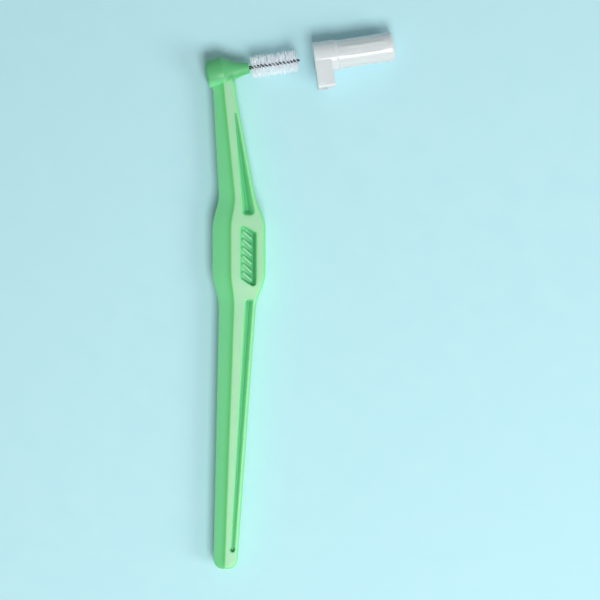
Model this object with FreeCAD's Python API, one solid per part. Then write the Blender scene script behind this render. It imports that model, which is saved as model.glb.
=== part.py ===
import FreeCAD, Part
import math
import os

# A long-handled interdental brush and its protective cap, in millimetres.
# The brush lies on its broad side: +X runs out along the wire, +Y along the handle towards the head,
# +Z up through the grip pad. The handle is drawn upright with its tail at y = 0, its axis near x = 0 and its
# mid-plane at z = 0, and then leans back about the point where it meets the wire's axis. The whole set is
# moved at the end so that the origin is under its middle.

Vector = FreeCAD.Vector
X_AXIS = Vector(1, 0, 0)
Y_AXIS = Vector(0, 1, 0)
Z_AXIS = Vector(0, 0, 1)

# Handle: lengths from the tail up to the wire's axis
shank_length = 54.0
flare_length = 8.0
pad_length = 8.5
neck_length = 25.1
wire_lean = 8.6

# Handle: where the back edge runs, and how wide and thick each stretch is
tail_back = -1.75
tail_width = 4.9
tail_thickness = 4.6
shank_back = -0.6
shank_width = 7.65
shank_thickness = 5.6
pad_back = -1.95
pad_width = 11.05
pad_thickness = 6.5
root_back = -0.65
root_width = 7.5
root_thickness = 5.8
throat_back = -1.85
throat_width = 4.6
throat_thickness = 4.5
tail_round = 1.9
edge_round = 0.5
neck_flare = 0.25
neck_flare_length = 1.2
flare_hold = 0.42

# Handle: the bevel that narrows it to a spine along its back, as wide as this at the pad
spine_thickness = 1.6
bevel_width = 4.0

# Handle: the hollows in both broad sides, and the web that is left between their floors. A draft is how far
# a wall leans out for each millimetre of its height, for the back wall, the front wall and the two ends.
groove_web = 3.8
groove_tail_margin = 4.0
groove_pad_margin = 6.4
groove_wide = 0.2
groove_narrow = 0.14
groove_front_rim = 0.65
groove_corner = 0.05
groove_drafts = (0.65, 0.95, 0.5)
pit_diameter = 0.95
pit_depth = 0.4
pad_hollow_length = 12.6
pad_hollow_width = 2.5
pad_hollow_depth = 1.3
pad_hollow_back_depth = 0.45
pad_hollow_slant = 1.8
pad_hollow_front_rim = 1.8
pad_hollow_drop = 1.1
pad_hollow_corner = 0.3
pad_hollow_drafts = (0.35, 0.55, 0.3)
grip_rib_count = 6
grip_rib_width = 0.7
grip_rib_drop = 0.3
grip_rib_end_gap = 0.25
grip_rib_corner = 0.2
neck_hollow_web = 3.3
neck_hollow_length = 20.4
neck_hollow_rise = 0.5
neck_hollow_pad_margin = 3.9
neck_hollow_pad_rim = 1.3
neck_hollow_tip_rim = 0.6
neck_hollow_wide = 0.3
neck_hollow_narrow = 0.14
neck_hollow_corner = 0.05
neck_hollow_drafts = (0.6, 0.9, 0.5)

# Head: a domed drum that narrows to the nose, turned about the wire's axis
head_radius = 3.25
head_back_radius = 3.0
head_back = 3.5
dome_rise = 0.35
dome_bulge = 0.1
rim_round = 0.7
shoulder_front = 0.4
shoulder_round = 0.5
nose_end = 5.8
nose_radius = 1.15
nose_round = 0.25
barrel_bulge = 0.08
cone_hollow = 0.35

# Wire: one strand folded in two and twisted, held in a blind bore in the head
strand_diameter = 0.34
strand_offset = 0.23
twist_pitch = 1.5
wire_reach = 10.7
tip_loop_length = 0.42
tip_loop_lead = 35.0
anchor_depth = 6.6
bore_clearance = 0.02
bore_end_gap = 0.3

# Bristles: straight filaments pinched between the strands, in rows of one half turn
filament_diameter = 0.09
bristle_diameter = 5.0
filaments_per_row = 6
bristle_root_gap = 0.4
bristle_tip_gap = 0.5

# Protective cap: a closed tube with a wider collar, and a saddle that straddles the neck
cap_wall = 0.36
cap_bristle_clearance = 0.15
cap_tip_clearance = 0.7
cap_end_wall = 0.6
cap_end_round = 0.6
collar_length = 5.0
collar_wall = 0.3
collar_step = 0.35
cap_seat_clearance = 0.12
saddle_width = 3.5
saddle_length = 3.4
saddle_cheek = 0.4
saddle_clearance = 0.12
saddle_corner = 0.5
cap_rib_height = 0.18
cap_rib_width = 0.5
cap_rib_spread = 2.0
cap_rib_margin = 1.5
cap_rest_gap = 3.0

# Modelling allowances: how far cutters run past a face, and how near counts as touching
overcut = 1.0
touch = 0.001

# Places along the handle
pad_low = shank_length + flare_length
pad_high = pad_low + pad_length
neck_root = pad_high + flare_length
wire_height = neck_root + neck_length
throat_height = wire_height - head_radius
half_pad = pad_thickness / 2
pad_front = pad_back + pad_width

# Places along the wire
wire_radius = strand_offset + strand_diameter / 2
bore_radius = wire_radius + bore_clearance
wire_tip = nose_end + wire_reach
twist_start = nose_end - anchor_depth
twist_end = wire_tip - strand_diameter / 2 - tip_loop_length
bristle_start = nose_end + bristle_root_gap
filament_step = twist_pitch / 2 / filaments_per_row
row_count = int((wire_tip - bristle_tip_gap - bristle_start) / (twist_pitch / 2))


def between(start, end, share):
    """The value a share of the way from start to end."""
    return start + (end - start) * share


def side_line(tail, shank, pad, root, throat):
    """One side of the handle, drawn with its offset in x and its place in y: three straight stretches
    joined by two smooth flares, from the tail to the wire's axis."""
    top = throat + (throat - root) / (throat_height - neck_root) * head_radius
    points = [
        Vector(tail, 0, 0), Vector(shank, shank_length, 0), Vector(pad, pad_low, 0),
        Vector(pad, pad_high, 0), Vector(root, neck_root, 0), Vector(top, wire_height, 0)]
    hold = flare_length * flare_hold
    edges = []
    for index, (start, end) in enumerate(zip(points, points[1:])):
        if index % 2 == 0:
            edges.append(Part.LineSegment(start, end).toShape())
            continue
        leaving = (start - points[index - 1]).normalize()
        arriving = (points[index + 2] - end).normalize()
        flare = Part.BezierCurve()
        flare.setPoles([start, start + leaving * hold, end - arriving * hold, end])
        edges.append(flare.toShape())
    return edges


def offset_at(side, place):
    """The offset of a side line at a place along the handle."""
    reach = 4 * pad_width
    level = Part.makeLine(Vector(-reach, place, 0), Vector(reach, place, 0))
    return Part.Wire(side).distToShape(level)[1][0][0].x


back_side = side_line(tail_back, shank_back, pad_back, root_back, throat_back)
front_side = side_line(
    tail_back + tail_width, shank_back + shank_width, pad_front,
    root_back + root_width, throat_back + throat_width)
upper_side = side_line(
    tail_thickness / 2, shank_thickness / 2, half_pad, root_thickness / 2, throat_thickness / 2)
lower_side = side_line(
    -tail_thickness / 2, -shank_thickness / 2, -half_pad, -root_thickness / 2, -throat_thickness / 2)


def swept_between(side_a, side_b, depth):
    """The area between two side lines, extruded by a depth to each side of its plane."""
    ends = [
        Part.makeLine(side_a[end].Vertexes[end].Point, side_b[end].Vertexes[end].Point) for end in (0, -1)]
    face = Part.Face(Part.Wire(Part.__sortEdges__(side_a + side_b + ends)))
    face.translate(Vector(0, 0, -depth))
    return face.extrude(Vector(0, 0, 2 * depth))


def bevelled():
    """A body whose back narrows from the full outline at the spine to one moved in at the pad's face."""
    reach = 4 * pad_width
    spine = spine_thickness / 2
    wires = []
    for level, inset in ((-half_pad, bevel_width), (-spine, 0), (spine, 0), (half_pad, bevel_width)):
        side = [edge.copy() for edge in back_side]
        for edge in side:
            edge.translate(Vector(inset, 0, level))
        low, high = side[0].Vertexes[0].Point, side[-1].Vertexes[-1].Point
        far_high = Vector(reach, high.y, level)
        far_low = Vector(reach, low.y, level)
        wires.append(Part.Wire(side + straight_run([high, far_high, far_low, low])))
    return Part.makeLoft(wires, True, True)


def flat_middle(edge):
    """The middle of an edge, brought down to the mid-plane."""
    middle = edge.valueAt((edge.FirstParameter + edge.LastParameter) / 2)
    return Vector(middle.x, middle.y, 0)


def handle_blank():
    """The outline seen from above, the bevelled back and the thickness seen from the side, all crossed."""
    plate = swept_between(back_side, front_side, pad_thickness)
    tail_corners = [
        edge for edge in plate.Edges
        if edge.BoundBox.YMax < touch and edge.BoundBox.ZLength > pad_thickness]
    plate = plate.makeFillet(tail_round, tail_corners)
    profile = swept_between(upper_side, lower_side, 4 * pad_width)
    profile.rotate(Vector(), Y_AXIS, -90)
    blank = plate.common(bevelled()).common(profile)
    front_line = Part.Wire(front_side)
    front_edges = [
        edge for edge in blank.Edges
        if edge.BoundBox.YLength > tail_round
        and front_line.distToShape(Part.Vertex(flat_middle(edge)))[0] < touch]
    return blank.makeFillet(edge_round, front_edges)


def leaned(shape):
    """A shape of the upright handle, turned about the point where the handle meets the wire's axis."""
    shape.rotate(Vector(0, wire_height, 0), Z_AXIS, -wire_lean)
    return shape


def rounded_outline(corners, radii):
    """A closed outline in the XY plane with straight sides and one tangent arc at each corner."""
    points = [Vector(x, y, 0) for x, y in corners]
    ends = []
    for index, (corner, radius) in enumerate(zip(points, radii)):
        to_last = (points[index - 1] - corner).normalize()
        to_next = (points[(index + 1) % len(points)] - corner).normalize()
        half_angle = to_last.getAngle(to_next) / 2
        reach = radius / math.tan(half_angle)
        inward = (to_last + to_next).normalize()
        middle = corner + inward * (radius / math.sin(half_angle) - radius)
        ends.append((corner + to_last * reach, middle, corner + to_next * reach))
    edges = []
    for index, (start, middle, end) in enumerate(ends):
        edges.append(Part.Arc(start, middle, end).toShape())
        edges.append(Part.LineSegment(end, ends[(index + 1) % len(ends)][0]).toShape())
    return Part.Wire(edges)


def both_sides(outline, floor, height):
    """An outline extruded from a floor by a height, above the mid-plane and mirrored below it."""
    upper = Part.Face(outline)
    upper.translate(Vector(0, 0, floor))
    upper = upper.extrude(Vector(0, 0, height))
    return [upper, upper.mirror(Vector(), Z_AXIS)]


def leaning_hollow(corners, radius, floor, drafts, tilt, scoop):
    """Cutters for both broad sides, from an outline on the floor whose walls lean out by their drafts. The
    floor rises towards the head by a tilt, and falls from its back to its front by a scoop, in degrees."""
    back_draft, front_draft, end_draft = drafts
    rise = half_pad + overcut - floor
    outwards = (
        (-back_draft, -end_draft), (front_draft, -end_draft),
        (front_draft, end_draft), (-back_draft, end_draft))
    mouth_corners = [
        (x + aside * rise, y + along * rise) for (x, y), (aside, along) in zip(corners, outwards)]
    base = rounded_outline(corners, [radius] * 4)
    mouth = rounded_outline(mouth_corners, [radius + end_draft * rise] * 4)
    base.rotate(Vector(corners[1][0], 0, 0), Y_AXIS, scoop)
    base.translate(Vector(0, 0, floor))
    mouth.translate(Vector(0, 0, floor + rise))
    upper = Part.makeLoft([base, mouth], True, True)
    upper.rotate(Vector(0, corners[0][1], floor), X_AXIS, tilt)
    return [upper, upper.mirror(Vector(), Z_AXIS)]


def floor_front(place, rim, floor, front_draft):
    """Where a hollow's floor ends towards the front, so that its leaning wall leaves a rim at the mouth."""
    return offset_at(front_side, place) - rim - front_draft * (offset_at(upper_side, place) - floor)


def shank_groove():
    """The long groove from the pad to the tail, narrowing with the shank."""
    low = groove_tail_margin
    high = pad_low - groove_pad_margin
    floor = groove_web / 2
    front_low = floor_front(low, groove_front_rim, floor, groove_drafts[1])
    front_high = floor_front(high, groove_front_rim, floor, groove_drafts[1])
    corners = [
        (front_low - groove_narrow, low), (front_low, low),
        (front_high, high), (front_high - groove_wide, high)]
    return leaning_hollow(corners, groove_corner, floor, groove_drafts, 0.0, 0.0)


def tail_pits():
    """The small round pit at the tail end of each groove."""
    floor = groove_web / 2
    front = floor_front(groove_tail_margin, groove_front_rim, floor, groove_drafts[1])
    centre = Vector(front - groove_narrow / 2, groove_tail_margin, 0)
    rim = Part.Wire([Part.Circle(centre, Z_AXIS, pit_diameter / 2).toShape()])
    return both_sides(rim, floor - pit_depth, half_pad)


def pad_hollow_corners(inset):
    """The slanted outline on the floor of the hollow in the grip pad, drawn in by an inset."""
    middle = (pad_low + pad_high) / 2 - pad_hollow_drop
    front = pad_front - pad_hollow_front_rim - pad_hollow_drafts[1] * pad_hollow_depth - inset
    back = front - pad_hollow_width + 2 * inset
    reach = pad_hollow_length / 2 - inset
    return [
        (back, middle - reach + pad_hollow_slant), (front, middle - reach),
        (front, middle + reach - pad_hollow_slant), (back, middle + reach)]


def pad_hollow():
    """The hollow in the grip pad, scooped deeper towards the front."""
    scoop = math.degrees(math.atan((pad_hollow_depth - pad_hollow_back_depth) / pad_hollow_width))
    return leaning_hollow(
        pad_hollow_corners(0), pad_hollow_corner, half_pad - pad_hollow_depth, pad_hollow_drafts, 0.0, scoop)


def grip_ribs():
    """Slanted finger ribs that stand in the floor of the pad's hollow, on both sides."""
    back_low, front_low, front_high, back_high = pad_hollow_corners(grip_rib_end_gap)
    half = grip_rib_width / 2
    rooted = (half_pad - pad_hollow_depth) / 2
    top = half_pad - grip_rib_drop
    ribs = []
    for index in range(grip_rib_count):
        share = (index + 0.5) / grip_rib_count
        back_y = between(back_low[1], back_high[1], share)
        front_y = between(front_low[1], front_high[1], share)
        corners = [
            (back_low[0], back_y - half), (front_low[0], front_y - half),
            (front_low[0], front_y + half), (back_low[0], back_y + half)]
        ribs += both_sides(rounded_outline(corners, [grip_rib_corner] * 4), rooted, top - rooted)
    return ribs


def neck_hollow():
    """The hollow in the neck, narrowing and growing shallower towards the head."""
    low = pad_high + neck_hollow_pad_margin
    high = low + neck_hollow_length
    floor = neck_hollow_web / 2
    front_low = floor_front(low, neck_hollow_pad_rim, floor, neck_hollow_drafts[1])
    front_high = floor_front(high, neck_hollow_tip_rim, floor + neck_hollow_rise, neck_hollow_drafts[1])
    corners = [
        (front_low - neck_hollow_wide, low), (front_low, low),
        (front_high, high), (front_high - neck_hollow_narrow, high)]
    tilt = math.degrees(math.atan(neck_hollow_rise / neck_hollow_length))
    return leaning_hollow(corners, neck_hollow_corner, floor, neck_hollow_drafts, tilt, 0.0)


def arc_with_bulge(start, end, bulge):
    """An arc between two points of a profile whose middle stands off the chord by a bulge."""
    chord = end - start
    aside = Vector(-chord.y, chord.x, 0).normalize()
    return Part.Arc(start, (start + end) * 0.5 + aside * bulge, end).toShape()


def quarter_round(start, end, radius):
    """A quarter circle between two points of a profile that lie a radius apart each way."""
    return arc_with_bulge(start, end, radius * (1 - math.sqrt(0.5)))


def turned(edges):
    """A solid turned about the wire's axis from a closed profile drawn in x and radius."""
    face = Part.Face(Part.Wire(edges))
    solid = face.revolve(Vector(), X_AXIS, 360)
    solid.translate(Vector(0, wire_height, 0))
    return solid


def straight_run(points):
    """Straight edges through a list of profile points."""
    return [Part.LineSegment(a, b).toShape() for a, b in zip(points, points[1:])]


def cone_edge():
    """The hollow-sided cone of the head, from the shoulder to the nose."""
    shoulder = Vector(shoulder_front, head_radius, 0)
    nose = Vector(nose_end - nose_round, nose_radius, 0)
    return arc_with_bulge(shoulder, nose, -cone_hollow)


def head():
    """The domed drum with its nose, turned about the wire's axis."""
    pole = Vector(-head_back, 0, 0)
    dome_edge = Vector(-head_back + dome_rise, head_back_radius - rim_round, 0)
    rim_edge = Vector(-head_back + dome_rise + rim_round, head_back_radius, 0)
    shoulder = Vector(shoulder_front, head_radius, 0)
    nose = Vector(nose_end - nose_round, nose_radius, 0)
    nose_edge = Vector(nose_end, nose_radius - nose_round, 0)
    nose_pole = Vector(nose_end, 0, 0)
    edges = [
        arc_with_bulge(pole, dome_edge, dome_bulge),
        quarter_round(dome_edge, rim_edge, rim_round),
        arc_with_bulge(rim_edge, shoulder, barrel_bulge),
        cone_edge(),
        quarter_round(nose, nose_edge, nose_round)]
    drum = turned(edges + straight_run([nose_edge, nose_pole, pole]))
    shoulder_edge = [
        edge for edge in drum.Edges
        if edge.BoundBox.XLength < touch and abs(edge.BoundBox.XMin - shoulder_front) < touch]
    return drum.makeFillet(shoulder_round, shoulder_edge)


def neck_section(place, growth):
    """The neck's section at a place along the upright handle, with its front and its back moved out by a
    growth and its broad sides just inside the neck's own."""
    front = offset_at(front_side, place) + growth
    back = offset_at(back_side, place) - growth
    top = offset_at(upper_side, place) - neck_flare / 4
    spine = spine_thickness / 2
    ridge = offset_at(back_side, place) + bevel_width * (top - spine) / (half_pad - spine)
    corners = [(front, -top), (front, top), (ridge, top), (back, spine), (back, -spine), (ridge, -top)]
    section = rounded_outline(corners, [edge_round] * len(corners))
    section.rotate(Vector(), X_AXIS, 90)
    section.translate(Vector(0, place, 0))
    return section


def neck_skirt():
    """The short flare that leads the neck's edges into the head, from inside the one to inside the other."""
    sections = [
        neck_section(throat_height - neck_flare_length, -neck_flare / 4),
        neck_section(throat_height + neck_flare, neck_flare),
        neck_section(wire_height - neck_flare, -neck_flare)]
    return Part.makeLoft(sections, True, True)


def handle():
    """The moulded handle: tail, shank, grip pad, neck and head in one piece, with the wire's bore."""
    blank = leaned(handle_blank())
    drum = head()
    body = blank.fuse([leaned(neck_skirt()), drum])
    bore_end = twist_start - bore_end_gap
    bore = Part.makeCylinder(
        bore_radius, nose_end - bore_end + overcut, Vector(bore_end, wire_height, 0), X_AXIS)
    hollows = shank_groove() + pad_hollow() + neck_hollow() + tail_pits()
    body = body.cut([leaned(hollow) for hollow in hollows] + [bore])
    return body.fuse([leaned(rib) for rib in grip_ribs()])


def strand_place(x, phase):
    """A point of a strand's centre line, and its direction, at a place along the wire."""
    angle = 2 * math.pi * x / twist_pitch + phase
    point = Vector(x, wire_height + strand_offset * math.cos(angle), strand_offset * math.sin(angle))
    swing = 2 * math.pi * strand_offset / twist_pitch
    direction = Vector(1, -swing * math.sin(angle), swing * math.cos(angle)).normalize()
    return point, direction


def arc_leaving(start, direction, end):
    """The arc from start to end that leaves start in a given direction, and its radius."""
    chord = end - start
    along = Vector(chord).normalize()
    lean = along.getAngle(direction)
    aside = (direction - along * direction.dot(along)).normalize()
    middle = (start + end) * 0.5 + aside * (chord.Length / 2 * math.tan(lean / 2))
    return Part.Arc(start, middle, end).toShape(), chord.Length / 2 / math.sin(lean)


def biarc(place_a, place_b):
    """Two tangent arcs between two points with given directions."""
    (start, out), (end, into) = place_a, place_b
    gap = end - start
    both = out + into
    spare = 2 * (1 - out.dot(into))
    reach = (math.sqrt(gap.dot(both) ** 2 + spare * gap.dot(gap)) - gap.dot(both)) / spare
    middle = (start + end + (out - into) * reach) * 0.5
    first, first_radius = arc_leaving(start, out, middle)
    second, second_radius = arc_leaving(end, into * -1, middle)
    return [first, second], min(first_radius, second_radius)


def core_wire():
    """One strand that twists out to the tip, turns there in a loop and twists back beside itself."""
    quarter = twist_pitch / 4
    steps = math.ceil((twist_end - twist_start) / quarter)
    stops = [between(twist_start, twist_end, step / steps) for step in range(steps + 1)]
    way_out = [strand_place(x, 0.0) for x in stops]
    way_back = [strand_place(x, math.pi) for x in reversed(stops)]
    way_back = [(point, direction * -1) for point, direction in way_back]
    loop_angle = 2 * math.pi * twist_end / twist_pitch + math.radians(tip_loop_lead)
    loop_way = Vector(0, -math.cos(loop_angle), -math.sin(loop_angle))
    loop_top = (Vector(twist_end + tip_loop_length, wire_height, 0), loop_way)
    route = way_out + [loop_top] + way_back
    edges = []
    tightest = wire_reach
    for place_a, place_b in zip(route, route[1:]):
        arcs, radius = biarc(place_a, place_b)
        edges += arcs
        tightest = min(tightest, radius)
    path = Part.Wire(edges)
    section = Part.Wire([Part.Circle(route[0][0], route[0][1], strand_diameter / 2).toShape()])
    strand = path.makePipeShell([section], True, False)
    full = math.pi * strand_diameter ** 2 / 4 * path.Length
    gap = 2 * strand_offset - strand_diameter
    print("wire: length %.1f, volume %.4f of %.4f, tightest arc %.3f, gap between strands %.3f" % (
        path.Length, strand.Volume, full, tightest, gap))
    return strand


def bristle_row(row):
    """The filaments of one half turn, each lying in the gap between the two strands."""
    filaments = []
    for index in range(filaments_per_row):
        x = bristle_start + (row * filaments_per_row + index + 0.5) * filament_step
        angle = 2 * math.pi * x / twist_pitch + math.pi / 2
        across = Vector(0, math.cos(angle), math.sin(angle))
        foot = Vector(x, wire_height, 0) - across * (bristle_diameter / 2)
        filaments.append(Part.makeCylinder(filament_diameter / 2, bristle_diameter, foot, across))
    return Part.makeCompound(filaments)


def cone_place(radius):
    """Where along the wire's axis the head's cone has a given radius."""
    cone = cone_edge()
    level = Part.makeLine(Vector(-head_back, radius, 0), Vector(nose_end, radius, 0))
    return cone.distToShape(level)[1][0][0].x


# Places of the cap: pushed home, and where it lies at rest
bore_of_cap = bristle_diameter / 2 + cap_bristle_clearance
tube_radius = bore_of_cap + cap_wall
collar_radius = head_radius
collar_bore = collar_radius - collar_wall
cap_home = cone_place(collar_bore - cap_seat_clearance)
cap_length = wire_tip + cap_tip_clearance + cap_end_wall - cap_home
cap_mouth = wire_tip + cap_rest_gap
cap_travel = cap_mouth - cap_home
saddle_low = collar_radius + saddle_length
leaning_front = [leaned(edge.copy()) for edge in front_side]
neck_front = max(offset_at(leaning_front, wire_height - depth) for depth in (collar_radius, saddle_low))
saddle_neck = neck_front + neck_flare - cap_home + saddle_clearance
saddle_inside = offset_at(upper_side, wire_height - saddle_low) + neck_flare + saddle_clearance


def cap_profile_outside():
    """The cap's outer form, turned as a full body: a rounded collar, a step and the round-ended tube."""
    lip = collar_wall / 2
    collar_end = collar_length - collar_step
    points = [
        Vector(0, 0, 0), Vector(0, collar_radius - lip, 0), Vector(lip, collar_radius, 0),
        Vector(collar_end, collar_radius, 0), Vector(collar_length, tube_radius, 0),
        Vector(cap_length - cap_end_round, tube_radius, 0)]
    end_edge = Vector(cap_length, tube_radius - cap_end_round, 0)
    end_arc = quarter_round(points[-1], end_edge, cap_end_round)
    end_pole = Vector(cap_length, 0, 0)
    return straight_run(points) + [end_arc] + straight_run([end_edge, end_pole, points[0]])


def cap_profile_inside():
    """The cap's hollow: wide under the collar, then the bristles' bore up to the end wall."""
    inner_end = cap_length - cap_end_wall
    step_start = collar_length - collar_step
    points = [
        Vector(-overcut, 0, 0), Vector(-overcut, collar_bore, 0),
        Vector(step_start - collar_wall, collar_bore, 0),
        Vector(step_start, bore_of_cap, 0), Vector(inner_end, bore_of_cap, 0), Vector(inner_end, 0, 0)]
    return straight_run(points + [points[0]])


def saddle():
    """The block under the collar that the neck's channel is then cut into."""
    half = saddle_inside + saddle_cheek
    corners = [(-half, -saddle_low), (half, -saddle_low), (half, 0), (-half, 0)]
    block = Part.Face(rounded_outline(corners, [saddle_corner] * 4))
    block.rotate(Vector(), Y_AXIS, -90)
    block = block.extrude(X_AXIS * saddle_width)
    block.translate(Vector(0, wire_height, 0))
    return block


def cap_ribs():
    """Fine lengthwise ribs on both broad sides of the tube."""
    start = collar_length + cap_rib_margin
    length = cap_length - cap_end_round - cap_rib_margin - start
    height = 2 * (tube_radius + cap_rib_height)
    ribs = []
    for side in (-0.5, 0.5):
        corner = Vector(start, wire_height + side * cap_rib_spread - cap_rib_width / 2, -height / 2)
        ribs.append(Part.makeBox(length, cap_rib_width, height, corner))
    around = Part.makeCylinder(
        tube_radius + cap_rib_height, length, Vector(start, wire_height, 0), X_AXIS)
    return [rib.common(around) for rib in ribs]


def protective_cap():
    """The cap, drawn with its mouth at x = 0 and moved to where it lies at rest."""
    channel = Part.makeBox(
        saddle_neck + overcut, saddle_low, 2 * saddle_inside,
        Vector(-overcut, wire_height - collar_bore / 2 - saddle_low, -saddle_inside))
    cap = turned(cap_profile_outside()).fuse([saddle()] + cap_ribs())
    cap = cap.cut([turned(cap_profile_inside()), channel]).removeSplitter()
    cap.translate(Vector(cap_mouth, 0, 0))
    return cap


def main():
    """Builds every piece, moves the set to its origin and writes one file per piece."""
    pieces = {"handle": handle(), "core_wire": core_wire(), "protective_cap": protective_cap()}
    for row in range(row_count):
        pieces["bristle_row_%02d" % (row + 1)] = bristle_row(row)
    low = pieces["handle"].optimalBoundingBox()
    high = Vector(cap_mouth + cap_length, wire_height + head_radius, 0)
    origin = Vector((low.XMin + high.x) / 2, (low.YMin + high.y) / 2, -max(half_pad, head_radius))
    os.makedirs("parts", exist_ok=True)
    for name, shape in pieces.items():
        shape.translate(origin * -1)
        shape.exportStep(os.path.join("parts", name + ".step"))
    print("nodes %d, origin in the drawing %.3f %.3f %.3f" % (len(pieces), origin.x, origin.y, origin.z))
    land_x = (pad_back + bevel_width + pad_hollow_corners(0)[0][0]) / 2
    land = leaned(Part.Vertex(land_x, (pad_low + pad_high) / 2, half_pad)).Point - origin
    print("pad's land beside the hollow: x %.3f y %.3f z %.3f" % (land.x, land.y, land.z))
    print("wire's axis: y %.3f z %.3f, nose end x %.3f, tip x %.3f" % (
        wire_height - origin.y, -origin.z, nose_end - origin.x, wire_tip - origin.x))
    print("cap: mouth x %.3f, end x %.3f, travel %.3f" % (
        cap_mouth - origin.x, cap_mouth + cap_length - origin.x, cap_travel))
    for name, shape in pieces.items():
        if not name.startswith("bristle") or name.endswith("01"):
            print(name, "valid", shape.isValid(), "solids", len(shape.Solids), "volume %.3f" % shape.Volume)


main()
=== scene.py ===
# %% [markdown]
# An interdental brush and its protective cap.
# The real set is four kinds of piece: a moulded green handle, a twisted wire, nylon bristles and a clear
# cap. The imported CAD model already holds every shape that has a real size, so the handle, the wire and
# the cap stay as they are and get their finish here. Only the bristles are modelled again, because
# hundreds of fine filaments are a matter of looks. The CAD box is kept now.

import math

import bpy
import numpy as np
from mathutils import Matrix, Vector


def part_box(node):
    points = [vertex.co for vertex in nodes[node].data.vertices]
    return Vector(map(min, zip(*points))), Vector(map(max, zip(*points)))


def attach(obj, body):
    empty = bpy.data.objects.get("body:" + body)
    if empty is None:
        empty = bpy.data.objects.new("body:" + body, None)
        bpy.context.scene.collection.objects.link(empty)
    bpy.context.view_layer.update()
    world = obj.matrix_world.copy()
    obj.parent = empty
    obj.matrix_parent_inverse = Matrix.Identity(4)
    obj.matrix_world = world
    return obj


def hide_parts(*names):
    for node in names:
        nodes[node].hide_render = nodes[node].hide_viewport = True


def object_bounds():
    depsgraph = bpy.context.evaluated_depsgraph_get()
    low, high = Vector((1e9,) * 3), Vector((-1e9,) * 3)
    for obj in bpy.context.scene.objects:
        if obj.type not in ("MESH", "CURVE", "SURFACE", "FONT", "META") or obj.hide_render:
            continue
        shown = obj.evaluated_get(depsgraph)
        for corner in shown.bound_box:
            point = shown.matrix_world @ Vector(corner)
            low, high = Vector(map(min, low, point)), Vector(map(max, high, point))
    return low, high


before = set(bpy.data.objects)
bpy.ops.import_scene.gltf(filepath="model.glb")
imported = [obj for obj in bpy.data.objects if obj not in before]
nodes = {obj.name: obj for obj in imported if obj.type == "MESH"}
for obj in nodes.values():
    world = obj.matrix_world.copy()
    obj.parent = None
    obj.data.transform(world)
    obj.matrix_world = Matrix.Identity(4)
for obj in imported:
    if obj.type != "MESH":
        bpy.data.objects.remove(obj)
cad_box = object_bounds()
MM = 0.001
print("CAD nodes:", len(nodes), "box in mm:", [round(side / MM, 2) for side in cad_box[1] - cad_box[0]])

# %% [markdown]
# Colours are written as sRGB hex values, as a paint chart gives them, but the shader adds light in linear
# values. One function makes that change. A second one adds a shader node: its settings and its inputs are
# given by name, and an input takes either a plain value or the output of another node.

# %% Colours and nodes


def linear(hex_colour):
    """sRGB hex to linear RGBA: c / 12.92 below 0.04045, and ((c + 0.055) / 1.055) ^ 2.4 above it."""
    channels = np.array([int(hex_colour[start:start + 2], 16) for start in (1, 3, 5)]) / 255
    values = np.where(channels <= 0.04045, channels / 12.92, ((channels + 0.055) / 1.055) ** 2.4)
    return (*values.tolist(), 1.0)


def add_node(owner, kind, settings=None, inputs=None):
    """Adds a shader node to a material or a world, sets its properties, and fills or links its inputs."""
    tree = owner.node_tree
    node = tree.nodes.new(kind)
    for name, value in (settings or {}).items():
        setattr(node, name, value)
    for name, value in (inputs or {}).items():
        if isinstance(value, bpy.types.NodeSocket):
            tree.links.new(value, node.inputs[name])
        else:
            node.inputs[name].default_value = value
    return node


def new_material(name):
    """An empty node material, and the coordinates of the piece itself in metres."""
    material = bpy.data.materials.new(name)
    material.use_nodes = True
    material.node_tree.nodes.clear()
    place = add_node(material, "ShaderNodeTexCoord").outputs["Object"]
    return material, place


def finish_material(material, inputs):
    """Closes a material with one Principled shader and its output."""
    shader = add_node(material, "ShaderNodeBsdfPrincipled", None, inputs)
    add_node(material, "ShaderNodeOutputMaterial", None, {"Surface": shader.outputs["BSDF"]})
    print("material:", material.name, "nodes:", len(material.node_tree.nodes))
    return material


def dress(node_name, material):
    """Gives a CAD node its finish, in whatever slots it came with."""
    node = nodes[node_name]
    if not node.material_slots:
        node.data.materials.append(material)
    for slot in node.material_slots:
        slot.material = material


# %% [markdown]
# The handle is green polypropylene, and its colour also holds painted light. The flat broad faces get a
# painted sheen, a paler green. A stronger green along the ridge between face and bevel is painted shade,
# and so is the deeper green in the hollows. The head is solid and thick, so part of its deeper green is the
# plastic and part is painted shade. Whether the plastic or the light does that can't be told from one
# picture, so each tint is a match to the eye and not a known finish. A tint is laid on by place and by
# slope on the handle itself, and one function finds where it lies. Melt that flows along a mould also
# leaves long, faint streaks.

# %% Handle: where each green, painted sheen and painted shade lies
MID_HEIGHT = (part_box("handle")[0].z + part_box("handle")[1].z) / 2
LEAN = math.radians(8.6)
HEAD_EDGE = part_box("core_wire")[0].y - 1.0 * MM
HEAD_FADE = 1.2 * MM
STREAK_GREENS = ("#7CDF97", "#86E6A0")
# Painted shade along the ridge, where the bevel turns into the face.
RIDGE_SHADE_GREEN = "#6AD476"
# The head's deeper green: partly its thick plastic, partly painted shade.
HEAD_GREEN_AND_SHADE = "#5EB976"
# Painted sheen: a paler green on the flat broad faces.
FACE_SHEEN_GREEN = "#B0DFB8"
# Painted shade: a deeper green in the hollows.
HOLLOW_SHADE_GREEN = "#58BD84"


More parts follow.
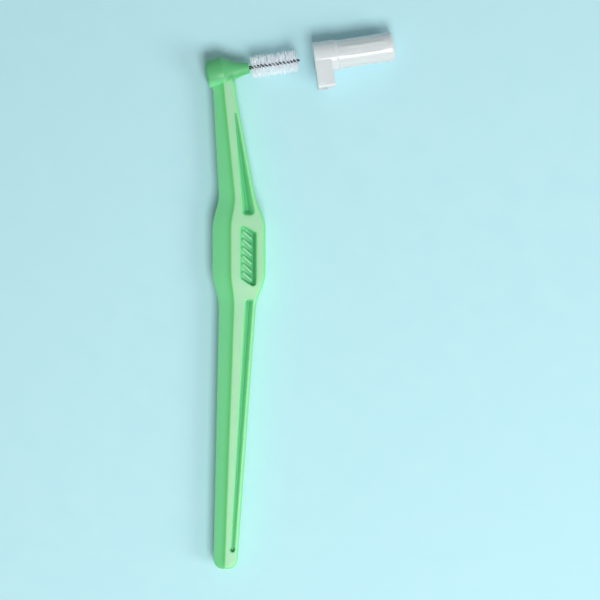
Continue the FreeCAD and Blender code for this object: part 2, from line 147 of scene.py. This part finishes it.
def flow_streaks(material, place):
    """Two near greens in streaks 3 mm wide and ten times as long, along the leaning handle."""
    streak_width = 3.0 * MM
    along = add_node(material, "ShaderNodeMapping", {"vector_type": "TEXTURE"}, {
        "Vector": place, "Rotation": (0, 0, -LEAN), "Scale": (1, 10, 1)})
    streaks = add_node(material, "ShaderNodeTexNoise", None, {
        "Vector": along.outputs["Vector"], "Scale": 1 / streak_width, "Detail": 2.0})
    green = add_node(material, "ShaderNodeMix", {"data_type": "RGBA"}, {
        0: streaks.outputs["Fac"], 6: linear(STREAK_GREENS[0]), 7: linear(STREAK_GREENS[1])})
    return green.outputs[2]


def painted_face_sheen(material, apart):
    """Up to 0.85 where the surface is level and at least 2.2 mm from the middle, with a border 1 mm soft: the
    share of painted sheen.
    """
    outer = add_node(material, "ShaderNodeMapRange", None, {
        "Value": apart, "From Min": 2.17 * MM, "From Max": 2.25 * MM})
    soft_border = add_node(material, "ShaderNodeBevel", {"samples": 8}, {"Radius": 1.0 * MM})
    slope = add_node(material, "ShaderNodeSeparateXYZ", None, {"Vector": soft_border.outputs["Normal"]})
    level = add_node(material, "ShaderNodeMath", {"operation": "ABSOLUTE"}, {0: slope.outputs["Z"]})
    flat = add_node(material, "ShaderNodeMapRange", {"interpolation_type": "SMOOTHSTEP"}, {
        "Value": level.outputs[0], "From Min": 0.93, "From Max": 0.998, "To Max": 0.85})
    face = add_node(material, "ShaderNodeMath", {"operation": "MULTIPLY"}, {
        0: outer.outputs["Result"], 1: flat.outputs["Result"]})
    return face.outputs[0]


def painted_ridge_shade(material):
    """1 beside the ridge, where a normal blurred over 2.4 mm turns level but still leans to the back: painted
    shade.
    """
    blurred = add_node(material, "ShaderNodeBevel", {"samples": 8}, {"Radius": 2.4 * MM})
    slope = add_node(material, "ShaderNodeSeparateXYZ", None, {"Vector": blurred.outputs["Normal"]})
    level = add_node(material, "ShaderNodeMath", {"operation": "ABSOLUTE"}, {0: slope.outputs["Z"]})
    turning = add_node(material, "ShaderNodeMapRange", {"interpolation_type": "SMOOTHSTEP"}, {
        "Value": level.outputs[0], "From Min": 0.86, "From Max": 0.92})
    to_back = add_node(material, "ShaderNodeMapRange", {"interpolation_type": "SMOOTHSTEP"}, {
        "Value": slope.outputs["X"], "From Min": -0.2, "From Max": -0.05, "To Min": 1.0, "To Max": 0.0})
    band = add_node(material, "ShaderNodeMath", {"operation": "MULTIPLY"}, {
        0: turning.outputs["Result"], 1: to_back.outputs["Result"]})
    return band.outputs[0]


def painted_hollow_shade(material):
    """0 on open surfaces and up to 0.8 in the hollows, from how much the handle hides itself within 2 mm:
    painted shade.
    """
    openness = add_node(material, "ShaderNodeAmbientOcclusion", {"samples": 8, "only_local": True}, {
        "Distance": 2.0 * MM})
    hollow = add_node(material, "ShaderNodeMapRange", {"interpolation_type": "SMOOTHSTEP"}, {
        "Value": openness.outputs["AO"], "From Min": 0.45, "From Max": 0.85, "To Min": 0.8, "To Max": 0.0})
    return hollow.outputs["Result"]


def handle_green(material, place, towards_head, apart):
    """The streaked green, and over it in turn the ridge's painted shade, the head's deeper green and painted
    shade, the faces' painted sheen and the hollows' painted shade.
    """
    below_head = add_node(material, "ShaderNodeMapRange", None, {
        "Value": towards_head, "From Min": HEAD_EDGE - HEAD_FADE, "From Max": HEAD_EDGE,
        "To Min": 1.0, "To Max": 0.0})
    face_sheen_mask = add_node(material, "ShaderNodeMath", {"operation": "MULTIPLY"}, {
        0: painted_face_sheen(material, apart), 1: below_head.outputs["Result"]})
    with_ridge_shade = add_node(material, "ShaderNodeMix", {"data_type": "RGBA"}, {
        0: painted_ridge_shade(material), 6: flow_streaks(material, place), 7: linear(RIDGE_SHADE_GREEN)})
    # The head's deeper green: partly its thick plastic, partly painted shade.
    with_head_green_and_shade = add_node(material, "ShaderNodeMix", {"data_type": "RGBA"}, {
        0: below_head.outputs["Result"], 6: linear(HEAD_GREEN_AND_SHADE), 7: with_ridge_shade.outputs[2]})
    with_face_sheen = add_node(material, "ShaderNodeMix", {"data_type": "RGBA"}, {
        0: face_sheen_mask.outputs[0], 6: with_head_green_and_shade.outputs[2], 7: linear(FACE_SHEEN_GREEN)})
    with_hollow_shade = add_node(material, "ShaderNodeMix", {"data_type": "RGBA"}, {
        0: painted_hollow_shade(material), 6: with_face_sheen.outputs[2], 7: linear(HOLLOW_SHADE_GREEN)})
    return with_hollow_shade.outputs[2]


# %% [markdown]
# Moulded polypropylene is a little translucent: light enters it and comes out about a millimetre away,
# which softens every edge. The skin is satin with a fine grain, as a blasted mould leaves it. A two-part
# mould leaves a thin line where its halves meet, here in the middle of the thickness. The mouths of the
# hollows and the ridge are sharp in CAD. A Bevel node rounds them for the light alone, and the mesh stays
# as it is.

# %% Handle: moulded polypropylene


def moulded_polypropylene():
    """Satin translucent green with painted sheen and painted shade, a fine grain and the mould's closing
    line.
    """
    material, place = new_material("moulded_polypropylene_green")
    axes = add_node(material, "ShaderNodeSeparateXYZ", None, {"Vector": place})
    off_line = add_node(material, "ShaderNodeMath", {"operation": "SUBTRACT"}, {
        0: axes.outputs["Z"], 1: MID_HEIGHT})
    apart = add_node(material, "ShaderNodeMath", {"operation": "ABSOLUTE"}, {
        0: off_line.outputs[0]}).outputs[0]
    # The blasted grain is about 0.05 mm on a real mould, and is drawn coarser here so that it shows.
    grain_size = 0.35 * MM
    grain = add_node(material, "ShaderNodeTexNoise", None, {
        "Vector": place, "Scale": 1 / grain_size, "Detail": 2.0})
    roughness = add_node(material, "ShaderNodeMapRange", None, {
        "Value": grain.outputs["Fac"], "To Min": 0.33, "To Max": 0.43})
    seam = add_node(material, "ShaderNodeMapRange", {"interpolation_type": "SMOOTHSTEP"}, {
        "Value": apart, "From Min": 0.03 * MM, "From Max": 0.12 * MM, "To Min": 1.0, "To Max": 0.0})
    relief = add_node(material, "ShaderNodeMath", {"operation": "MULTIPLY_ADD"}, {
        0: grain.outputs["Fac"], 1: 0.3, 2: seam.outputs["Result"]})
    soft_edges = add_node(material, "ShaderNodeBevel", {"samples": 6}, {"Radius": 0.4 * MM})
    bump = add_node(material, "ShaderNodeBump", None, {
        "Strength": 0.5, "Distance": 0.02 * MM, "Height": relief.outputs[0],
        "Normal": soft_edges.outputs["Normal"]})
    return finish_material(material, {
        "Base Color": handle_green(material, place, axes.outputs["Y"], apart),
        "Roughness": roughness.outputs["Result"], "IOR": 1.49, "Subsurface Weight": 0.5,
        "Subsurface Radius": (1.0, 1.0, 0.35), "Subsurface Scale": 1.2 * MM,
        "Normal": bump.outputs["Normal"]})


dress("handle", moulded_polypropylene())

# %% [markdown]
# The wire is drawn stainless steel under a bonded plastic coating, so that it doesn't scratch. Drawing
# leaves fine lines along the strand, and the coating darkens the metal and adds a second, softer gloss.
# The two strands are already twisted round each other in CAD, and that twist is what gives the eye the
# row of dark beads.

# %% Wire: coated stainless steel


def coated_stainless_steel():
    """Dark drawn steel with small changes of gloss, under a clear coat."""
    material, place = new_material("coated_stainless_steel")
    # Drawing lines are a few hundredths of a millimetre apart, and are drawn coarser here so that they show.
    line_spacing = 0.15 * MM
    lines = add_node(material, "ShaderNodeTexNoise", None, {
        "Vector": place, "Scale": 1 / line_spacing, "Detail": 1.0})
    tone = add_node(material, "ShaderNodeMix", {"data_type": "RGBA"}, {
        0: lines.outputs["Fac"], 6: linear("#2B3234"), 7: linear("#434C4E")})
    roughness = add_node(material, "ShaderNodeMapRange", None, {
        "Value": lines.outputs["Fac"], "To Min": 0.24, "To Max": 0.4})
    return finish_material(material, {
        "Base Color": tone.outputs[2], "Metallic": 1.0, "Roughness": roughness.outputs["Result"],
        "Coat Weight": 0.3, "Coat Roughness": 0.25, "Coat IOR": 1.5})


dress("core_wire", coated_stainless_steel())

# %% [markdown]
# The bristles are nylon filaments, laid across the wire before it is twisted. The twist grips them and
# fans them out in a spiral, two ends for each filament. CAD shows that spiral with a few straight rods.
# Here the same spiral is filled with many thin filaments, each a little bent, a little off its place and
# cut to nearly the same length. The pitch and the angle of the spiral are read from the CAD rods, so that
# the new filaments come out between the strands as the rods do.

# %% Bristles: read the spiral
row_names = sorted(name for name in nodes if name.startswith("bristle_row"))
row_places = np.array([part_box(name)[0].x for name in row_names])
half_turn = np.diff(row_places).mean()
wire_low, wire_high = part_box("core_wire")
axis_y = (wire_low.y + wire_high.y) / 2
axis_z = MID_HEIGHT
first_row = np.array([vertex.co for vertex in nodes[row_names[0]].data.vertices])


def spiral_phase(points):
    """Half the angle of the summed exp(2i (angle - pi x / half turn)), over rod points far from the axis."""
    away = (points[:, 1] - axis_y) + 1j * (points[:, 2] - axis_z)
    far = np.abs(away) > 0.8 * np.abs(away).max()
    turned_back = np.angle(away[far]) - np.pi * points[far, 0] / half_turn
    return np.angle(np.exp(2j * turned_back).sum()) / 2


phase = spiral_phase(first_row)
bristle_reach = np.hypot(first_row[:, 1] - axis_y, first_row[:, 2] - axis_z).max()
bristle_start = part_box(row_names[0])[0].x
bristle_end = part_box(row_names[-1])[1].x
print("spiral: half turn %.3f mm, reach %.3f mm, phase %.1f degrees" % (
    half_turn / MM, bristle_reach / MM, math.degrees(phase)))

# %% [markdown]
# Each filament is a closed tube of four sides. Its centre line is one formula of a parameter t that runs
# from -1 at one tip, through the wire at 0, to 1 at the other tip. All filaments are worked out together
# as one array, from seeded random numbers, so that every run gives the same brush.

# %% Bristles: nylon filaments
FILAMENTS = 400
RINGS = 9
SIDES = 4
FILAMENT_RADIUS = 0.03 * MM
rng = np.random.default_rng(5)


def filament_lines():
    """Centre lines, as an array of filament, ring and xyz.

    The point t lies at x = place + lean t + bow t^2 along the wire, and t reach away from the wire's axis, in
    the direction phase + pi place / half turn + scatter + sweep |t|.
    """
    share = (np.arange(FILAMENTS) + rng.uniform(0.1, 0.9, FILAMENTS)) / FILAMENTS
    place = (bristle_start + share * (bristle_end - bristle_start))[:, None]
    lean = rng.normal(0, 0.22 * MM, (FILAMENTS, 1))
    bow = rng.normal(0, 0.12 * MM, (FILAMENTS, 1))
    scatter = rng.normal(0, 0.10, (FILAMENTS, 1))
    sweep = rng.normal(0, 0.45, (FILAMENTS, 1))
    reach = bristle_reach * rng.uniform(0.86, 1.0, (FILAMENTS, 1))
    t = np.linspace(-1, 1, RINGS)[None, :]
    angle = phase + np.pi * place / half_turn + scatter + sweep * np.abs(t)
    along = np.clip(place + lean * t + bow * t ** 2, bristle_start, bristle_end)
    away = t * reach
    return np.stack([along, axis_y + away * np.cos(angle), axis_z + away * np.sin(angle)], axis=-1)


def closed_tubes(lines, radius):
    """Tube points and faces: line + radius (cos s n + sin s b).

    Here n is the wire's direction made square to the line, and b is square to both. Four sides close each
    tube with one square at each tip.
    """
    tangent = np.gradient(lines, axis=1)
    tangent /= np.linalg.norm(tangent, axis=-1, keepdims=True)
    normal = np.array([1.0, 0.0, 0.0]) - tangent * tangent[..., :1]
    normal /= np.linalg.norm(normal, axis=-1, keepdims=True)
    binormal = np.cross(tangent, normal)
    s = np.arange(SIDES) * 2 * np.pi / SIDES
    ring = np.cos(s)[:, None] * normal[:, :, None] + np.sin(s)[:, None] * binormal[:, :, None]
    points = lines[:, :, None] + radius * ring
    index = np.arange(points[..., 0].size).reshape(points.shape[:3])
    after = np.roll(index, -1, axis=2)
    sides = np.stack([index[:, :-1], after[:, :-1], after[:, 1:], index[:, 1:]], axis=-1)
    faces = np.concatenate([sides.reshape(-1, 4), index[:, 0, ::-1], index[:, -1]])
    return points.reshape(-1, 3), faces


def new_piece(name, points, faces):
    """A mesh object at the origin, with smooth faces and its place in its points."""
    mesh = bpy.data.meshes.new(name)
    mesh.from_pydata(points.tolist(), [], faces.tolist())
    mesh.polygons.foreach_set("use_smooth", np.ones(len(mesh.polygons), dtype=bool))
    mesh.update()
    piece = bpy.data.objects.new(name, mesh)
    bpy.context.scene.collection.objects.link(piece)
    return piece


bristles = new_piece("bristles", *closed_tubes(filament_lines(), FILAMENT_RADIUS))
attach(bristles, "brush")
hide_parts(*row_names)
print("bristles: %d filaments, %d faces" % (FILAMENTS, len(bristles.data.polygons)))

# %% [markdown]
# Nylon filament is drawn from a clear melt. It is smooth, and so thin that most light passes or scatters
# through it: a single one looks clear, and many together look white. A faint glow stands in for the light
# that passes from filament to filament, and the rest is scattered by the pale surface.

# %% Bristles: finish


def drawn_nylon():
    """Pale filament with a faint glow, and a slightly different white from place to place."""
    material, place = new_material("drawn_nylon_filament")
    patch_size = 0.8 * MM
    patches = add_node(material, "ShaderNodeTexNoise", None, {
        "Vector": place, "Scale": 1 / patch_size, "Detail": 1.0})
    white = add_node(material, "ShaderNodeMix", {"data_type": "RGBA"}, {
        0: patches.outputs["Fac"], 6: linear("#ECF0F5"), 7: linear("#F7F9FB")})
    return finish_material(material, {
        "Base Color": white.outputs[2], "Roughness": 0.35, "IOR": 1.53,
        "Emission Color": linear("#E4E8F2"), "Emission Strength": 0.14})


bristles.data.materials.append(drawn_nylon())

# %% [markdown]
# The cap is taken to be thin moulded polypropylene without any dye. Such a wall is milky: it lets light
# through and blurs what is behind it. The melt leaves faint clouds in the wall, and a mould's polish
# isn't perfect, so the gloss changes a little from place to place.

# %% Cap: natural polypropylene


def natural_polypropylene():
    """Milky clear plastic with faint clouds and small changes of gloss."""
    material, place = new_material("natural_polypropylene_clear")
    cloud_size = 2.0 * MM
    clouds = add_node(material, "ShaderNodeTexNoise", None, {
        "Vector": place, "Scale": 1 / cloud_size, "Detail": 2.0})
    tint = add_node(material, "ShaderNodeMix", {"data_type": "RGBA"}, {
        0: clouds.outputs["Fac"], 6: linear("#F3F8F9"), 7: linear("#FBFDFD")})
    roughness = add_node(material, "ShaderNodeMapRange", None, {
        "Value": clouds.outputs["Fac"], "To Min": 0.16, "To Max": 0.26})
    return finish_material(material, {
        "Base Color": tint.outputs[2], "Roughness": roughness.outputs["Result"], "IOR": 1.49,
        "Transmission Weight": 0.3, "Subsurface Weight": 0.6,
        "Subsurface Radius": (1, 1, 1), "Subsurface Scale": 0.5 * MM})


dress("protective_cap", natural_polypropylene())

# %% [markdown]
# The set lies on a plain pale board. Its colour is a pale aqua with a faint paper-like mottle, and it is
# large enough to fill the view from every side. The lamps light only the part near the set, so the far
# part would look dark from low down. There the lit colour gives way to an even glow, but only for the
# rays that the camera, a gloss or a clear wall sees, so that it sheds no light on the object. The board
# is stage, not a part of the object.

# %% Stage: pale board
BOARD_TONES = ("#B9E6EE", "#C0E9F0")
BOARD_HALF = 3.0
BOARD_GAP = 0.01 * MM
GLOW_START = 0.1
GLOW_WHOLE = 0.35


def seen_rays(owner):
    """1 for rays from the camera, from a gloss and through a clear wall, and 0 for rays that carry light."""
    path = add_node(owner, "ShaderNodeLightPath")
    bounced = add_node(owner, "ShaderNodeMath", {"operation": "ADD"}, {
        0: path.outputs["Is Glossy Ray"], 1: path.outputs["Is Transmission Ray"]})
    seen = add_node(owner, "ShaderNodeMath", {"operation": "ADD", "use_clamp": True}, {
        0: path.outputs["Is Camera Ray"], 1: bounced.outputs[0]})
    return seen.outputs[0]


def pale_board():
    """Matt pale aqua board with a faint mottle, which turns into an even glow away from the set."""
    material, place = new_material("matt_pale_board")
    mottle_size = 6.0 * MM
    mottle = add_node(material, "ShaderNodeTexNoise", None, {
        "Vector": place, "Scale": 1 / mottle_size, "Detail": 3.0})
    colour = add_node(material, "ShaderNodeMix", {"data_type": "RGBA"}, {
        0: mottle.outputs["Fac"], 6: linear(BOARD_TONES[0]), 7: linear(BOARD_TONES[1])})
    away = add_node(material, "ShaderNodeVectorMath", {"operation": "LENGTH"}, {0: place})
    far = add_node(material, "ShaderNodeMapRange", {"interpolation_type": "SMOOTHSTEP"}, {
        "Value": away.outputs["Value"], "From Min": GLOW_START, "From Max": GLOW_WHOLE})
    glow = add_node(material, "ShaderNodeMath", {"operation": "MULTIPLY"}, {
        0: far.outputs["Result"], 1: seen_rays(material)})
    lit = add_node(material, "ShaderNodeMix", {"data_type": "RGBA"}, {
        0: glow.outputs[0], 6: colour.outputs[2], 7: (0, 0, 0, 1)})
    return finish_material(material, {
        "Base Color": lit.outputs[2], "Roughness": 0.8, "Specular IOR Level": 0.1,
        "Emission Color": colour.outputs[2], "Emission Strength": glow.outputs[0]})


corners = np.array([(-1, -1, 0), (1, -1, 0), (1, 1, 0), (-1, 1, 0)]) * BOARD_HALF
corners[:, 2] = cad_box[0].z - BOARD_GAP
board = new_piece("board", corners, np.array([[0, 1, 2, 3]]))
board.data.materials.append(pale_board())

# %% [markdown]
# Soft studio light: a pale world from all sides, one large lamp and one weak one. The large lamp stands
# above the tail's end, so that the underside of the head and the nose are bright and the far side of the
# head falls into shade. The weak one lights the front. An area lamp of P watts at a distance r lights a
# white surface to P / (pi^2 r^2), so the watts follow from the level that is wanted. The world lights the
# set with a weak white, and shows the board's own colour to the rays that are seen, so that the board has
# no dark horizon.

# %% Light
to_camera = np.array([0.0, 0.0, 1.0])
picture_up = np.array([math.sin(LEAN), math.cos(LEAN), 0.0])
picture_right = np.cross(picture_up, to_camera)
middle = np.array((cad_box[0] + cad_box[1]) / 2)


def turned_to(place, target, right):
    """A 4 by 4 matrix at a place whose -Z looks at the target, with its X as near to right as it can be."""
    back = (place - target) / np.linalg.norm(place - target)
    side = right - back * right.dot(back)
    side /= np.linalg.norm(side)
    matrix = np.eye(4)
    matrix[:3] = np.column_stack([side, np.cross(back, side), back, place])
    return Matrix(matrix.tolist())


def area_lamp(name, direction, distance, size, level):
    """A square lamp that lights a white surface facing it to the given level."""
    lamp = bpy.data.lights.new(name, "AREA")
    lamp.size = size
    lamp.energy = level * math.pi ** 2 * distance ** 2
    lamp_object = bpy.data.objects.new(name, lamp)
    bpy.context.scene.collection.objects.link(lamp_object)
    direction = np.array(direction) / np.linalg.norm(direction)
    lamp_object.matrix_world = turned_to(middle + direction * distance, middle, picture_right)
    print("lamp:", name, "%.2f W" % lamp.energy)


area_lamp("key_lamp", direction=(0.10, -0.55, 1.0), distance=0.62, size=0.26, level=0.66)
area_lamp("fill_lamp", direction=(0.9, -0.6, 0.7), distance=0.70, size=0.30, level=0.30)
world = bpy.data.worlds.new("pale_room")
world.use_nodes = True
world.node_tree.nodes.clear()
room_light = add_node(world, "ShaderNodeBackground", None, {"Color": linear("#F4F8FA"), "Strength": 0.34})
backdrop = add_node(world, "ShaderNodeBackground", None, {"Color": linear(BOARD_TONES[1]), "Strength": 1.0})
room = add_node(world, "ShaderNodeMixShader", None, {
    0: seen_rays(world), 1: room_light.outputs[0], 2: backdrop.outputs[0]})
add_node(world, "ShaderNodeOutputWorld", None, {"Surface": room.outputs[0]})
bpy.context.scene.world = world

# %% [markdown]
# The camera looks as the photograph does: straight down on the broad side, square to the plane of the
# handle and the wire. The handle is upright in the picture, so the camera is turned by the handle's lean.
# A long lens keeps the sides parallel. Its distance follows from the set's size.

# %% Camera
PICTURE_MARGIN = 1.12
picture_axes = np.column_stack([picture_right, picture_up, to_camera])
points = np.concatenate([
    np.array([vertex.co for vertex in nodes[name].data.vertices]) for name in ("handle", "protective_cap")])
in_picture = points @ picture_axes
target = picture_axes @ (in_picture.min(axis=0) + in_picture.max(axis=0)) / 2
picture_height = np.ptp(in_picture[:, 1]) * PICTURE_MARGIN
camera = bpy.data.cameras.new("camera")
camera.lens = 150
camera.sensor_width = 36
camera_distance = picture_height * camera.lens / camera.sensor_width
camera_object = bpy.data.objects.new("camera", camera)
bpy.context.scene.collection.objects.link(camera_object)
camera_object.matrix_world = turned_to(target + to_camera * camera_distance, target, picture_right)
bpy.context.scene.camera = camera_object
bpy.context.scene.view_settings.view_transform = "Standard"
print("camera: %.0f mm away, picture %.0f mm high" % (camera_distance / MM, picture_height / MM))
